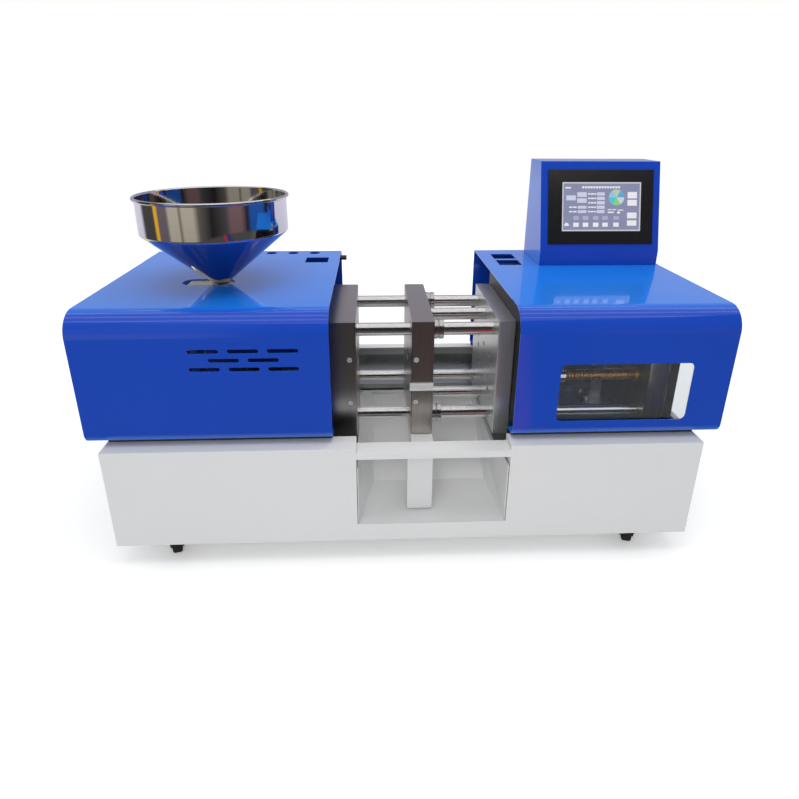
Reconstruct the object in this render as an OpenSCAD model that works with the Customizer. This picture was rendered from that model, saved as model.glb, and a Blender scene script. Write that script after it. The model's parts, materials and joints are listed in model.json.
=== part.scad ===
// Desktop injection moulding machine: a white cabinet on castors, a clamping unit with
// four tie bars in the middle, an injection unit with a hopper under the left cover, and
// the clamp drive with an operator panel on the right cover.
// Inside place(), X runs from the cabinet's middle, Y back from its front face and Z up
// from its underside. All sizes are in millimetres.

/* [Cabinet] */
// Width of the white cabinet
base_w = 960; // [940:10:1000]
// Depth of the cabinet, front to back
base_d = 465; // [460:5:480]
// Height of the cabinet above the castors
base_h = 176; // [174:1:180]
// Thickness of the cabinet's sheet metal
base_t = 2; // [1.5:0.5:2.5]
// Height of the castors
castor_h = 40; // [38:1:46]
// Left edge of the product outlet in the cabinet's front
outlet_x0 = -82; // [-84:1:-80]
// Right edge of the product outlet in the cabinet's front
outlet_x1 = 166; // [164:1:168]
// Height of the outlet's lower lip
outlet_lip = 32; // [28:1:34]

/* [Covers] */
// How far the left cover hangs over the cabinet's left end
overhang_left = 25; // [15:1:30]
// How far the right cover hangs over the cabinet's right end
overhang_right = 32.5; // [20:0.5:40]
// Distance of the covers behind the cabinet's front face
cover_setback = 17.5; // [14:0.5:20]
// Gap between the cabinet's top and the covers' lower edges
cover_lift = 6; // [4:1:8]
// Height of a cover
cover_h = 212.5; // [210:0.5:216]
// Thickness of the covers' sheet metal
cover_t = 2; // [1.5:0.5:2.5]
// Radius of the large bend at a cover's top front edge
top_bend = 38; // [30:1:42]
// Radius of the bend at a cover's lower front edge
low_bend = 18; // [12:1:20]
// Inner end of the left cover
left_cover_end = -119; // [-121:0.5:-118.5]
// Inner end of the right cover
right_cover_end = 170; // [169:1:172]

/* [Clamping unit] */
// Distance of the machine's axis behind the cabinet's front face
axis_y = 203; // [200:1:206]
// Height of the machine's axis above the cabinet's underside
axis_z = 255; // [253:1:257]
// Depth of the platens, front to back
platen_d = 234; // [230:1:240]
// Height of the platens' top edges
platen_top = 357; // [355:1:360]
// Height of the machine bed's top face
bed_top = 151; // [149:0.5:151.5]
// Thickness of the fixed and the moving platen
platen_t = 37; // [34:1:38]
// Depth of the pockets for the nuts in the fixed platen's back
nut_pocket = 10; // [8:1:12]
// Right face of the fixed platen, where the mould's fixed half goes
fixed_face = -81; // [-82:0.5:-80.5]
// Left face of the moving platen at rest
moving_face = 10; // [5:1:15]
// Left face of the support plate
support_x = 151.7; // [150:0.1:153]
// Thickness of the support plate
support_t = 28; // [26:1:28]
// Left face of the rear plate
rear_x = 414.7; // [412:0.1:417]
// Thickness of the rear plate
rear_t = 34.5; // [32:0.5:35]
// Diameter of the tie bars and push rods
bar_d = 22; // [20:1:22]
// Spacing of the tie bars, front to back
tie_dy = 162; // [160:1:164]
// Spacing of the tie bars, up and down
tie_dz = 156; // [154:1:158]
// Diameter of the two drive screws
drive_screw_d = 20; // [18:1:20]

/* [Injection unit] */
// Distance of the hopper's axis left of the cabinet's middle
hopper_x = -316; // [-318:1:-314]
// Diameter of the hopper's cylindrical part
hopper_d = 241; // [238:1:246]
// Height of the hopper's rim above the cabinet's underside
hopper_rim_z = 544; // [538:1:548]
// Height of the hopper's cylindrical part
hopper_wall_h = 60; // [56:1:64]
// Thickness of the hopper's sheet metal
hopper_t = 1.5; // [1:0.5:2]
// Diameter of the hopper's neck
neck_d = 26; // [26:1:30]
// Diameter of the barrel
barrel_d = 44; // [40:1:46]

/* [Operator panel] */
// Left side of the panel's housing
panel_x = 273.5; // [268:0.5:278]
// Width of the panel's housing
panel_w = 233.5; // [230:0.5:240]
// Height of the panel's housing above the cover
panel_h = 192; // [188:1:194]
// Width of the touch panel's bezel
bezel_w = 206; // [204:1:212]
// Height of the touch panel's bezel
bezel_h = 142; // [140:1:144]

/* [Hidden] */

$fn = 64;
eps = 0.01;
fit = 0.05;

frame_x = (overhang_left - overhang_right) / 2;
cover_z = base_h + cover_lift;
cover_top = cover_z + cover_h;
cover_back = base_d - 1;
cover_d = cover_back - cover_setback;
platen_y = axis_y - platen_d / 2;
moving_back = moving_face + platen_t;
fixed_x = fixed_face - platen_t;
support_back = support_x + support_t;
rear_back = rear_x + rear_t;
bar_r = bar_d / 2;

rim_d = 41;
lintel_z = 156;
lintel_h = 11;
lintel_d = 35;
bed_t = 12;
bed_notch_y = 62;
bed_notch_back = 300;
bed_notch_x0 = -80.5;
bed_notch_x1 = 150;

// Heights of the drive screws and of the clamp motor, both below the axis
drive_screw_dy = 72;
drive_screw_z = axis_z - 14;
clamp_motor_z = axis_z - 33;
pulley_x0 = rear_back + 1.5;
pulley_w = 12;
screw_pulley_r = 22;
motor_pulley_r = 16;
journal_r = 7.5;

crosshead_x = 235;
crosshead_t = 25;
crosshead_bottom = bed_top + 4;

// The clamp motor's bracket: a foot on the bed and an upright that the motor is flanged to
bracket_x = 352;
bracket_t = 21;
foot_x0 = 327;
foot_x1 = 389;
foot_top = bed_top + 24;
motor_half = 30;

// The injection unit's stations along X
barrel_x0 = hopper_x - 4;
feed_w = 58;
feed_x0 = hopper_x - feed_w / 2;
feed_x1 = hopper_x + feed_w / 2;
barrel_x1 = -150;
injection_end_x = -468;
end_plate_t = 8;
drive_plate_x = -372;
drive_plate_t = 14;
carriage_z = base_h + 2;
carriage_t = 8;
carriage_top = carriage_z + carriage_t;
injection_screw_z = 207;
guide_rod_dy = 31;
guide_rod_z = 284;
guide_rod_r = 6;
rail_dy = 60;
rail_w = 15;
rail_h = 20;

slope_foot = 28;
slope_front_y = 314;
slope_top_y = 363;
slope_run = slope_top_y - slope_front_y;
slope_rise = panel_h - slope_foot;
slope_lean = atan(slope_run / slope_rise);
panel_back_y = 440;

castor_x = 393;
castor_y = 26;
castor_trail = 8;
castor_wheel_r = 14;
heading_fl = 105;
heading_fr = 75;
heading_rl = 180;
heading_rr = 90;

// ---------------------------------------------------------------- shared shapes

// Moves a piece from the cabinet's own coordinates to the object's origin
module place() {
    translate([frame_x, -base_d / 2, castor_h]) children();
}

// A round bar or bore along X, from x0 to x1
module bar_x(x0, x1, r, y, z) {
    translate([x0, y, z]) rotate([0, 90, 0]) cylinder(h = x1 - x0, r = r);
}

// A cone along X, with radius r0 at x0 and r1 at x1
module cone_x(x0, x1, r0, r1, y, z) {
    translate([x0, y, z]) rotate([0, 90, 0]) cylinder(h = x1 - x0, r1 = r0, r2 = r1);
}

// A block between two corners
module block(from, to) {
    translate(from) cube(to - from);
}

// A Y-Z outline pulled along X
module pull_x(x0, x1) {
    translate([x0, 0, 0]) rotate([90, 0, 90]) linear_extrude(x1 - x0) children();
}

// The waste of a corner at the origin once it is rounded with radius r
module corner_waste(r) {
    difference() {
        translate([-1, -1]) square(r + 1);
        translate([r, r]) circle(r);
    }
}

// A rectangle with rounded corners, as exact arcs
module round_rect(w, h, r) {
    difference() {
        square([w, h]);
        corner_waste(r);
        translate([w, 0]) rotate(90) corner_waste(r);
        translate([w, h]) rotate(180) corner_waste(r);
        translate([0, h]) rotate(270) corner_waste(r);
    }
}

// A slot with round ends, lying along X and centred on the origin
module obround(length, width) {
    translate([-(length - width) / 2, -width / 2]) square([length - width, width]);
    for (side = [-1, 1]) translate([side * (length - width) / 2, 0]) circle(d = width);
}

// A rectangular plate across X with its four long edges bevelled
module plate_x(x0, x1, y0, y1, z0, z1, bevel = 1.5) {
    translate([0, 0, z0]) linear_extrude(z1 - z0) polygon([
        [x0 + bevel, y0], [x1 - bevel, y0], [x1, y0 + bevel], [x1, y1 - bevel],
        [x1 - bevel, y1], [x0 + bevel, y1], [x0, y1 - bevel], [x0, y0 + bevel],
    ]);
}

// Puts children at the four tie bars
module at_tie_bars() {
    for (side = [-1, 1], level = [-1, 1])
        translate([0, axis_y + side * tie_dy / 2, axis_z + level * tie_dz / 2]) children();
}

// Puts children at the two push rods
module at_push_rods() {
    for (level = [-1, 1]) translate([0, axis_y, axis_z + level * tie_dz / 2]) children();
}

// Puts children at the two drive screws
module at_drive_screws() {
    for (side = [-1, 1]) translate([0, axis_y + side * drive_screw_dy, drive_screw_z]) children();
}

// ---------------------------------------------------------------- cabinet and bed

// Folded and welded cabinet with the outlet's cheeks and the lintel over it
module base_cabinet() {
    color("white") place() {
        difference() {
            block([-base_w / 2, 0, 0], [base_w / 2, base_d, base_h]);
            block([-base_w / 2 + base_t, base_t, base_t],
                  [base_w / 2 - base_t, base_d - base_t, base_h - base_t]);
            // the top is open behind a rim, for the machine bed
            block([-base_w / 2 + 10, rim_d, base_h - base_t - 1],
                  [base_w / 2 - 10, base_d - 22, base_h + 1]);
            // the outlet in the front and the gap in the rim above it
            block([outlet_x0, -1, outlet_lip], [outlet_x1, base_t + 1, base_h + 1]);
            block([outlet_x0, -1, base_h - base_t - 1], [outlet_x1, rim_d + 1, base_h + 1]);
            // the mains inlet's opening in the left end
            block([-base_w / 2 - 1, 380, 50], [-base_w / 2 + base_t + 1, 407, 98]);
        }
        for (x = [outlet_x0 - base_t, outlet_x1])
            block([x, base_t - eps, outlet_lip], [x + base_t, rim_d, base_h - eps]);
        // the lintel over the outlet, a channel that is open below
        difference() {
            block([outlet_x0 - eps, 0, lintel_z], [outlet_x1 + eps, lintel_d, lintel_z + lintel_h]);
            block([outlet_x0 + 1, base_t, lintel_z - 1], [outlet_x1 - 1, lintel_d - base_t, lintel_z + 9]);
        }
        bed_beam();
    }
}

// Beam under the moving platen, with a post under its front end that carries the lintel
module bed_beam() {
    block([2, lintel_d - base_t, 38], [44, 50, lintel_z + 1]);
    block([moving_face, 50 - eps, 134], [moving_back, bed_notch_back, bed_top + 1]);
}

// Steel plate that carries everything, with the notch that the mouldings drop through
module bed_plate() {
    gap = 0.5;
    color("gray") place() translate([0, 0, bed_top - bed_t]) linear_extrude(bed_t) difference() {
        translate([-base_w / 2 + base_t, base_t]) square([base_w - 2 * base_t, base_d - 2 * base_t]);
        translate([outlet_x0 - base_t - gap, 0])
            square([outlet_x1 - outlet_x0 + 2 * base_t + 2 * gap, bed_notch_y]);
        translate([bed_notch_x0, 0]) square([bed_notch_x1 - bed_notch_x0, bed_notch_back]);
    }
}

// The chute's bent form: low and wide at the outlet, high and narrow at the bed's back
module chute_form(inset, rise, reach) {
    skin = 0.02;
    top = bed_top - bed_t + (rise > 0 ? 5 : 0);
    hull() {
        block([outlet_x0 + 1 + inset, 3 - reach, 30 + rise],
              [outlet_x1 - 1 - inset, 3 - reach + skin, top]);
        block([-56 + inset, 110, 43 + rise], [149.5 - inset, 110 + skin, 43 + rise + skin]);
        block([-56 + inset, 296 - inset, 130 + rise], [149.5 - inset, 296 - inset + skin, top]);
        block([bed_notch_x0 + inset, 112, top - skin],
              [149.5 - inset, 296 - inset + skin, top]);
    }
}

// Folded sheet chute that leads the mouldings out through the cabinet's front
module drop_chute() {
    sheet = 1.5;
    color("white") place() difference() {
        chute_form(0, 0, 0);
        chute_form(sheet, sheet, 1);
        // clearance for the bed's beam
        block([moving_face - 0.5, 280, 133], [moving_back + 0.5, 300, bed_top]);
    }
}

// Servo drives and power supply on the cabinet's floor, both sides of the chute
module electrics() {
    color("dimgray") place() {
        for (x = [-430, -350, -270]) translate([x, 200, base_t]) servo_drive();
        translate([240, 180, base_t]) cube([180, 110, 62]);
    }
}

// One book-shaped servo drive with cooling fins on its side
module servo_drive() {
    cube([50, 140, 105]);
    for (fin = [0 : 7]) translate([50 - eps, 10 + fin * 16, 10]) cube([10, 3, 85]);
}

// Mains inlet with a switch rocker in the cabinet's left end
module power_inlet() {
    color("black") place() difference() {
        union() {
            block([-base_w / 2 - 2.5, 376, 46], [-base_w / 2, 411, 102]);
            block([-base_w / 2, 380.5, 50.5], [-base_w / 2 + 28, 406.5, 97.5]);
        }
        block([-base_w / 2 - 3, 385, 55], [-base_w / 2 + 16, 402, 73]);
        block([-base_w / 2 - 3, 385, 78], [-base_w / 2 + 4, 402, 94]);
    }
    color("silver") place() for (pin = [-6, 0, 6])
        block([-base_w / 2 + 4, 392.5 + pin, 62], [-base_w / 2 + 16, 394.5 + pin, 66]);
}

// ---------------------------------------------------------------- covers

// Closed outline of a cover, drawn inset by the sheet's thickness for its inside
module cover_outline(inset) {
    back_bend = 4;
    y0 = cover_setback + inset;
    z0 = cover_z + inset;
    w = cover_d - 2 * inset;
    h = cover_h - 2 * inset;
    translate([y0, z0]) difference() {
        square([w, h]);
        corner_waste(low_bend - inset);
        translate([w, 0]) rotate(90) corner_waste(back_bend - inset);
        translate([w, h]) rotate(180) corner_waste(back_bend - inset);
        translate([0, h]) rotate(270) corner_waste(top_bend - inset);
    }
}

// A cover's bent sheet, open below between two return flanges
module cover_sheet(x0, x1) {
    flange = 16;
    pull_x(x0, x1) difference() {
        cover_outline(0);
        cover_outline(cover_t);
        translate([cover_setback + low_bend + flange, cover_z - 1])
            square([cover_d - low_bend - 2 * flange, cover_t + 2]);
    }
}

// Rubber strips between the cabinet's rim and the covers, and a bumper at the left cover's edge
module cover_strips() {
    bumper_r = 5;
    color("dimgray") place() {
        for (span = [[-base_w / 2 + 2, left_cover_end - 2], [right_cover_end + 2, base_w / 2 - 2]]) {
            block([span[0], rim_d - 5, base_h], [span[1], rim_d, cover_z]);
            block([span[0], base_d - 17, base_h], [span[1], base_d - 6, cover_z]);
        }
        bar_x(left_cover_end - 5, left_cover_end + 12, bumper_r, 425, cover_top - cover_t - bumper_r);
    }
}

// Cuts children's outline, drawn in X and Y, down through a cover's top
module top_cut() {
    translate([0, 0, cover_top - cover_t - 1]) linear_extrude(cover_t + 2) children();
}

// Cuts children's outline, drawn in X and Z, through a cover's front
module front_cut() {
    translate([0, cover_setback + cover_t + 1, 0]) rotate([90, 0, 0])
        linear_extrude(cover_t + 2) children();
}

// Cover over the injection unit: cooling slots, the hopper's slot and operator's cut-outs
module left_cover() {
    vent_x = -248;
    vent_z = 321.6;
    vent_pitch_x = 59.3;
    vent_pitch_z = 14.6;
    color("royalblue") place() difference() {
        cover_sheet(-base_w / 2 - overhang_left, left_cover_end);
        front_cut() {
            for (row = [-1, 1], column = [-1 : 1])
                translate([vent_x + column * vent_pitch_x, vent_z + row * vent_pitch_z])
                    obround(46.5, 6.5);
            for (column = [-0.5, 0.5])
                translate([vent_x + column * vent_pitch_x, vent_z]) obround(46.5, 6.5);
        }
        top_cut() {
            translate([-337.5, axis_y]) obround(89, 40);
            for (x = [-264.8, -219.7, -174.6]) translate([x, 440]) circle(d = 22);
            translate([-186.5, 350.5]) round_rect(45, 45, 2);
        }
    }
}

// Cover over the clamp drive: the window and two cut-outs for plug-in instruments
module right_cover() {
    color("royalblue") place() difference() {
        cover_sheet(right_cover_end, base_w / 2 + overhang_right);
        front_cut() translate([238.6, 209.5]) round_rect(211.5, 98.7, 9);
        top_cut() {
            translate([197, 318]) round_rect(45, 45, 2);
            translate([197, 375]) round_rect(45, 45, 2);
        }
        // hole under the panel's housing for its cables
        top_cut() translate([390, 400]) circle(d = 30);
    }
}

// Clear pane behind the window
module window_pane() {
    color([0.8, 0.9, 0.95, 0.3]) place()
        translate([0, cover_setback + cover_t + 3.1, 0]) rotate([90, 0, 0])
            linear_extrude(3) translate([226.6, 200]) round_rect(235.5, 117, 6);
}

// ---------------------------------------------------------------- operator panel

// Side view of the panel's housing: upright foot, sloping face, flat top
module hmi_side(inset) {
    across = inset / cos(slope_lean);
    down = inset * tan(slope_lean);
    polygon([
        [slope_front_y + inset, cover_top + inset],
        [panel_back_y - inset, cover_top + inset],
        [panel_back_y - inset, cover_top + panel_h - inset],
        [slope_top_y + across - down, cover_top + panel_h - inset],
        [slope_front_y + inset, cover_top + slope_foot - (across - inset) / tan(slope_lean)],
    ]);
}

// Moves children from the X-Y plane on to the housing's sloping face, X along its width
module on_slope(lift = 0) {
    translate([panel_x + panel_w / 2, slope_front_y + slope_run / 2,
               cover_top + slope_foot + slope_rise / 2])
        rotate([90 - slope_lean, 0, 0]) translate([0, -1.5, lift]) children();
}

// Folded sheet housing of the operator panel
module hmi_box() {
    wall = 2;
    color("royalblue") place() difference() {
        pull_x(panel_x, panel_x + panel_w) hmi_side(0);
        pull_x(panel_x + wall, panel_x + panel_w - wall) hmi_side(wall);
        on_slope(-5) translate([-96, -66, 0]) cube([192, 132, 10]);
        translate([390, 400, cover_top - 1]) cylinder(h = 5, d = 30);
    }
}

// Moulded bezel of the touch panel with a sloping edge round the display
module hmi_bezel() {
    color("black") place() on_slope(0.2) difference() {
        union() {
            hull() {
                translate([-bezel_w / 2, -bezel_h / 2, 0]) cube([bezel_w, bezel_h, 2]);
                translate([-80, -49, 5.5]) cube([160, 98, 1]);
            }
            translate([-94, -64, -30]) cube([188, 128, 31]);
        }
        translate([-77, -46.5, 5]) cube([154, 93, 3]);
        translate([-78.5, -48, 3.2]) cube([157, 96, 2]);
    }
}

// Glass of the display, lying in the bezel
module hmi_screen() {
    color("lightsteelblue") place() on_slope(0.2)
        translate([-78, -47.5, 3.4]) cube([156, 95, 1.5]);
}

// ---------------------------------------------------------------- clamping unit, fixed pieces

// Left platen: tie bar holes, the nozzle's bore and the mould's bolt holes
module fixed_platen() {
    back = fixed_x - nut_pocket;
    color("dimgray") place() difference() {
        plate_x(back, fixed_face, platen_y, platen_y + platen_d, bed_top, platen_top);
        at_tie_bars() bar_x(fixed_x - 1, fixed_face + 1, bar_r + fit, 0, 0);
        at_tie_bars() bar_x(back - 1, fixed_x, 19, 0, 0);
        bar_x(back - 1, fixed_face - 20, 24, axis_y, axis_z);
        bar_x(fixed_x, fixed_face + 1, 15, axis_y, axis_z);
        bar_x(fixed_face - 6, fixed_face + 1, 30, axis_y, axis_z);
        bar_x(fixed_face - 8, fixed_face, 20.1, axis_y, axis_z);
        mould_holes(fixed_face);
        for (z = [214, 292]) translate([-92, platen_y - 1, z]) rotate([-90, 0, 0]) {
            cylinder(h = 20, d = 5);
            cylinder(h = 3.5, d = 10.4);
        }
    }
}

// Four blind holes for the mould's bolts, drilled into the face at x
module mould_holes(x) {
    side = x == fixed_face ? -1 : 1;
    for (dy = [-50, 50], dz = [-50, 50])
        bar_x(min(x + side * 20, x - side), max(x + side * 20, x - side), 3.4,
              axis_y + dy, axis_z + dz);
}

// Hardened bush in the fixed platen that the nozzle seats against
module sprue_bush() {
    color("silver") place() difference() {
        union() {
            bar_x(fixed_face - 20.2, fixed_face - 7, 14.9, axis_y, axis_z);
            bar_x(fixed_face - 8, fixed_face - 6, 20, axis_y, axis_z);
        }
        bar_x(fixed_face - 22, fixed_face - 5, 1.75, axis_y, axis_z);
        cone_x(fixed_face - 20.3, fixed_face - 15.2, 7, 1.75, axis_y, axis_z);
    }
}

// Right plate that guides the push rods, with a grid of holes
module support_plate() {
    color("gray") place() difference() {
        plate_x(support_x, support_back, platen_y, platen_y + platen_d, bed_top, platen_top);
        at_tie_bars() bar_x(support_x - 1, support_back + 1, bar_r + fit, 0, 0);
        at_push_rods() bar_x(support_x - 1, support_back + 1, bar_r + fit, 0, 0);
        for (column = [-1 : 1], row = [-1.5 : 1.5])
            bar_x(support_x - 1, support_back + 1, 5, axis_y + column * 54, drive_screw_z + row * 22);
    }
}

// Two sheet guards: a dark one behind the support plate and one round the belt drive
module guard_sheets() {
    x0 = support_back;
    sheet = 1.5;
    color("dimgray") place() {
        difference() {
            pull_x(x0, x0 + sheet) difference() {
                translate([24, 188]) square([302, 198]);
                translate([24, 386]) rotate(270) corner_waste(34);
            }
            at_tie_bars() bar_x(x0 - 1, x0 + 3, bar_r + 1, 0, 0);
            at_push_rods() bar_x(x0 - 1, x0 + 3, bar_r + 1, 0, 0);
            at_drive_screws() bar_x(x0 - 1, x0 + 3, drive_screw_d / 2 + 3, 0, 0);
        }
        difference() {
            block([rear_back, platen_y, bed_top + 1], [rear_back + 15, platen_y + platen_d, platen_top]);
            block([rear_back - 1, platen_y + sheet, bed_top],
                  [rear_back + 16, platen_y + platen_d - sheet, platen_top - sheet]);
        }
    }
}

// Plate at the right end of the tie bars that holds the clamp drive
module rear_plate() {
    color("dimgray") place() difference() {
        plate_x(rear_x, rear_back, platen_y, platen_y + platen_d, bed_top, platen_top);
        at_tie_bars() bar_x(rear_x - 1, rear_back + 1, bar_r + fit, 0, 0);
        at_drive_screws() bar_x(rear_x - 1, rear_back + 1, journal_r + fit, 0, 0);
        bar_x(rear_x - 1, rear_back + 1, journal_r + 2, axis_y, clamp_motor_z);
    }
}

// Four hard-chromed tie bars from the fixed platen to the rear plate
module tie_bars() {
    color("silver") place() at_tie_bars() {
        bar_x(fixed_x - 22, rear_back + 16.5, bar_r, 0, 0);
        cone_x(rear_back + 16.5 - eps, rear_back + 18.5, bar_r, bar_r - 2, 0, 0);
    }
}

// Round nuts at both ends of each tie bar
module tie_bar_nuts() {
    color("darkgray") place() at_tie_bars() for (x = [fixed_x - 16.2, rear_back + 0.2])
        difference() {
            bar_x(x, x + 16, 17, 0, 0);
            bar_x(x - 1, x + 17, bar_r + fit, 0, 0);
            for (turn = [0 : 90 : 270]) rotate([turn, 0, 0])
                block([x - 1, -2.5, 14.5], [x + 17, 2.5, 18]);
        }
}

// Socket screws in the fixed platen's front face and in the motor bracket's foot
module platen_screws() {
    color("silver") place() {
        for (z = [214, 292]) socket_screw(-92, z);
        at_foot_screws() difference() {
            union() {
                translate([0, 0, -12]) cylinder(h = 12.1, d = 4.8);
                cylinder(h = 5, d = 8.5);
            }
            translate([0, 0, 2.5]) cylinder(h = 3, d = 4.6, $fn = 6);
        }
    }
}

// Puts children at the three screws in the motor bracket's foot
module at_foot_screws() {
    for (dy = [-35, 0, 35]) translate([343, axis_y + dy, foot_top]) children();
}

// One M5 socket screw with its head in a counterbore
module socket_screw(x, z) {
    translate([x, platen_y - 0.5, z]) rotate([-90, 0, 0]) difference() {
        union() {
            cylinder(h = 2.9, d = 8.5);
            cylinder(h = 17, d = 4.8);
        }
        translate([0, 0, -1]) cylinder(h = 3, d = 4.6, $fn = 6);
    }
}

// Bracket of the clamp motor: a foot on the bed and an upright
module motor_bracket() {
    color("gray") place() difference() {
        union() {
            block([foot_x0, axis_y - 54, bed_top], [foot_x1, axis_y + 54, foot_top]);
            block([bracket_x, axis_y - 26, foot_top - eps], [bracket_x + bracket_t, axis_y + 26, 252]);
        }
        bar_x(bracket_x - 1, bracket_x + bracket_t + 1, 12, axis_y, clamp_motor_z);
        at_foot_screws() translate([0, 0, -13]) cylinder(h = 14, d = 5);
    }
}

// Servo motor on its bracket; the crosshead's window passes round it
module clamp_motor() {
    x0 = bracket_x - 90;
    r = motor_half;
    color("dimgray") place() difference() {
        union() {
            plate_x(x0 + 20, bracket_x, axis_y - r, axis_y + r, clamp_motor_z - r, clamp_motor_z + r, 1);
            plate_x(x0, x0 + 20.1, axis_y - r + 3, axis_y + r - 3,
                    clamp_motor_z - r + 3, clamp_motor_z + r - 3, 1);
            block([bracket_x - 26, axis_y - 12, clamp_motor_z + r - 1],
                  [bracket_x - 6, axis_y + 12, clamp_motor_z + r + 12]);
        }
        bar_x(bracket_x - 30, bracket_x + 1, 7 + fit, axis_y, clamp_motor_z);
    }
}

// Toothed belt round the motor's pulley and the two screws' pulleys
module timing_belt() {
    color("black") place() translate([pulley_x0 + 1, 0, 0]) rotate([90, 0, 90])
        linear_extrude(pulley_w - 2) difference() {
            belt_path(1.9);
            belt_path(0.4);
        }
}

// The belt's triangle, at a distance outside the pulleys
module belt_path(out) {
    hull() {
        for (side = [-1, 1]) translate([axis_y + side * drive_screw_dy, drive_screw_z])
            circle(screw_pulley_r + out, $fn = 48);
        translate([axis_y, clamp_motor_z]) circle(motor_pulley_r + out, $fn = 48);
    }
}

// Two guide rails on the bed for the injection unit
module slide_rails() {
    color("silver") place() for (side = [-1, 1]) difference() {
        block([-476, axis_y + side * rail_dy - rail_w / 2, bed_top],
              [-140, axis_y + side * rail_dy + rail_w / 2, bed_top + rail_h]);
        for (x = [-450 : 56 : -170]) translate([x, axis_y + side * rail_dy, bed_top + rail_h - 5])
            cylinder(h = 6, d = 8);
    }
}

// Four plates with kingpins under the cabinet's corners
module castor_plates() {
    color("dimgray") place() for (right = [-1, 1], back = [0, 1])
        translate([right * castor_x, castor_at_y(back), 0]) {
            translate([-23, -23, -2]) cube([46, 46, 2]);
            translate([0, 0, -5]) cylinder(h = 3.5, d = 26);
            translate([0, 0, -10]) cylinder(h = 5.5, d = 8);
            translate([0, 0, -10.4]) cylinder(h = 1.2, d = 12);
        }
}

function castor_at_y(back) = back == 1 ? base_d - castor_y : castor_y;

// ---------------------------------------------------------------- clamping unit, moving pieces

// Middle platen with the mould's bolt holes and an ejector hole
module moving_platen() {
    lift = 3;
    color("dimgray") place() difference() {
        plate_x(moving_face, moving_back, platen_y, platen_y + platen_d, bed_top + lift, platen_top);
        at_tie_bars() bar_x(moving_face - 1, moving_back + 1, 14.5, 0, 0);
        bar_x(moving_face - 1, moving_back + 1, 12, axis_y, axis_z);
        mould_holes(moving_face);
        for (z = [214, 291]) translate([18, platen_y - 1, z]) rotate([-90, 0, 0]) {
            cylinder(h = 20, d = 5);
            cylinder(h = 3.5, d = 10.4);
        }
    }
}

// Socket screws in the moving platen's front face
module moving_platen_screws() {
    color("silver") place() for (z = [214, 291]) socket_screw(18, z);
}

// Guide bushes that run on the tie bars, each with two rings and a groove
module guide_bushes() {
    color("silver") place() at_tie_bars() difference() {
        union() {
            bar_x(moving_face + 0.5, moving_back + 0.2, 14.4, 0, 0);
            bar_x(moving_back + 0.1, moving_back + 18, 15, 0, 0);
            bar_x(moving_back + 0.1, moving_back + 8, 17, 0, 0);
            bar_x(moving_back + 10, moving_back + 18, 17, 0, 0);
        }
        bar_x(moving_face, moving_back + 19, bar_r + fit, 0, 0);
    }
}

// Bright grooved strip across the moving platen's front face
module position_flag() {
    y0 = platen_y - 3.2;
    color("silver") place() difference() {
        block([moving_face - 2.5, y0, 236.5], [moving_back, platen_y - 0.1, 249.5]);
        block([moving_face - 3, y0 - 1, 240], [moving_back + 1, y0 + 2.2, 246.5]);
    }
}

// Two hard-chromed rods between the moving platen and the crosshead
module push_rods() {
    color("silver") place() at_push_rods() bar_x(moving_back, crosshead_x, bar_r, 0, 0);
}

// Crosshead that the drive screws pull, with a window round the clamp motor
module crosshead() {
    x1 = crosshead_x + crosshead_t;
    color("dimgray") place() difference() {
        union() {
            plate_x(crosshead_x, x1, axis_y - 45, axis_y + 45, crosshead_bottom, platen_top);
            plate_x(crosshead_x, x1, axis_y - 100, axis_y + 100, drive_screw_z - 28, drive_screw_z + 28);
        }
        block([crosshead_x - 1, axis_y - motor_half - 3, clamp_motor_z - motor_half - 3],
              [x1 + 1, axis_y + motor_half + 3, clamp_motor_z + motor_half + 3]);
        at_drive_screws() bar_x(crosshead_x - 1, x1 + 1, 14.1, 0, 0);
    }
}

// Ball nuts of the drive screws, flanged to the crosshead
module ball_nuts() {
    x1 = crosshead_x + crosshead_t;
    color("silver") place() at_drive_screws() difference() {
        union() {
            bar_x(x1 + 0.1, x1 + 10, 20, 0, 0);
            bar_x(crosshead_x + 2, x1 + 22, 14, 0, 0);
        }
        bar_x(crosshead_x + 1, x1 + 23, drive_screw_d / 2 + fit, 0, 0);
    }
}

// One drive screw with its journal and pulley; side is -1 in front, 1 behind
module drive_screw(side) {
    y = axis_y + side * drive_screw_dy;
    color("goldenrod") place() {
        bar_x(crosshead_x - 52, rear_x - 22, drive_screw_d / 2, y, drive_screw_z);
        cone_x(rear_x - 22 - eps, rear_x - 12, drive_screw_d / 2, journal_r, y, drive_screw_z);
        bar_x(rear_x - 12 - eps, pulley_x0 + pulley_w + 0.5, journal_r, y, drive_screw_z);
        bar_x(rear_x - 6, rear_x - 0.3, 12, y, drive_screw_z);
        pulley(screw_pulley_r, y, drive_screw_z);
    }
}

// A belt pulley with two flanges
module pulley(r, y, z) {
    bar_x(pulley_x0, pulley_x0 + pulley_w, r, y, z);
}

module drive_screw_front() {
    drive_screw(-1);
}

module drive_screw_rear() {
    drive_screw(1);
}

// The clamp motor's shaft and pulley
module motor_pulley() {
    color("silver") place() {
        bar_x(bracket_x - 29, pulley_x0 + pulley_w + 0.5, 7, axis_y, clamp_motor_z);
        pulley(motor_pulley_r, axis_y, clamp_motor_z);
    }
}

// ---------------------------------------------------------------- injection unit

// Plate that carries the injection unit, on four blocks that run on the rails
module carriage_plate() {
    color("gray") place() {
        block([injection_end_x, axis_y - 80, carriage_z], [-190, axis_y + 80, carriage_top]);
        for (side = [-1, 1], x = [-432, -240]) translate([0, axis_y + side * rail_dy, 0]) rail_block(x);
    }
}

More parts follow.
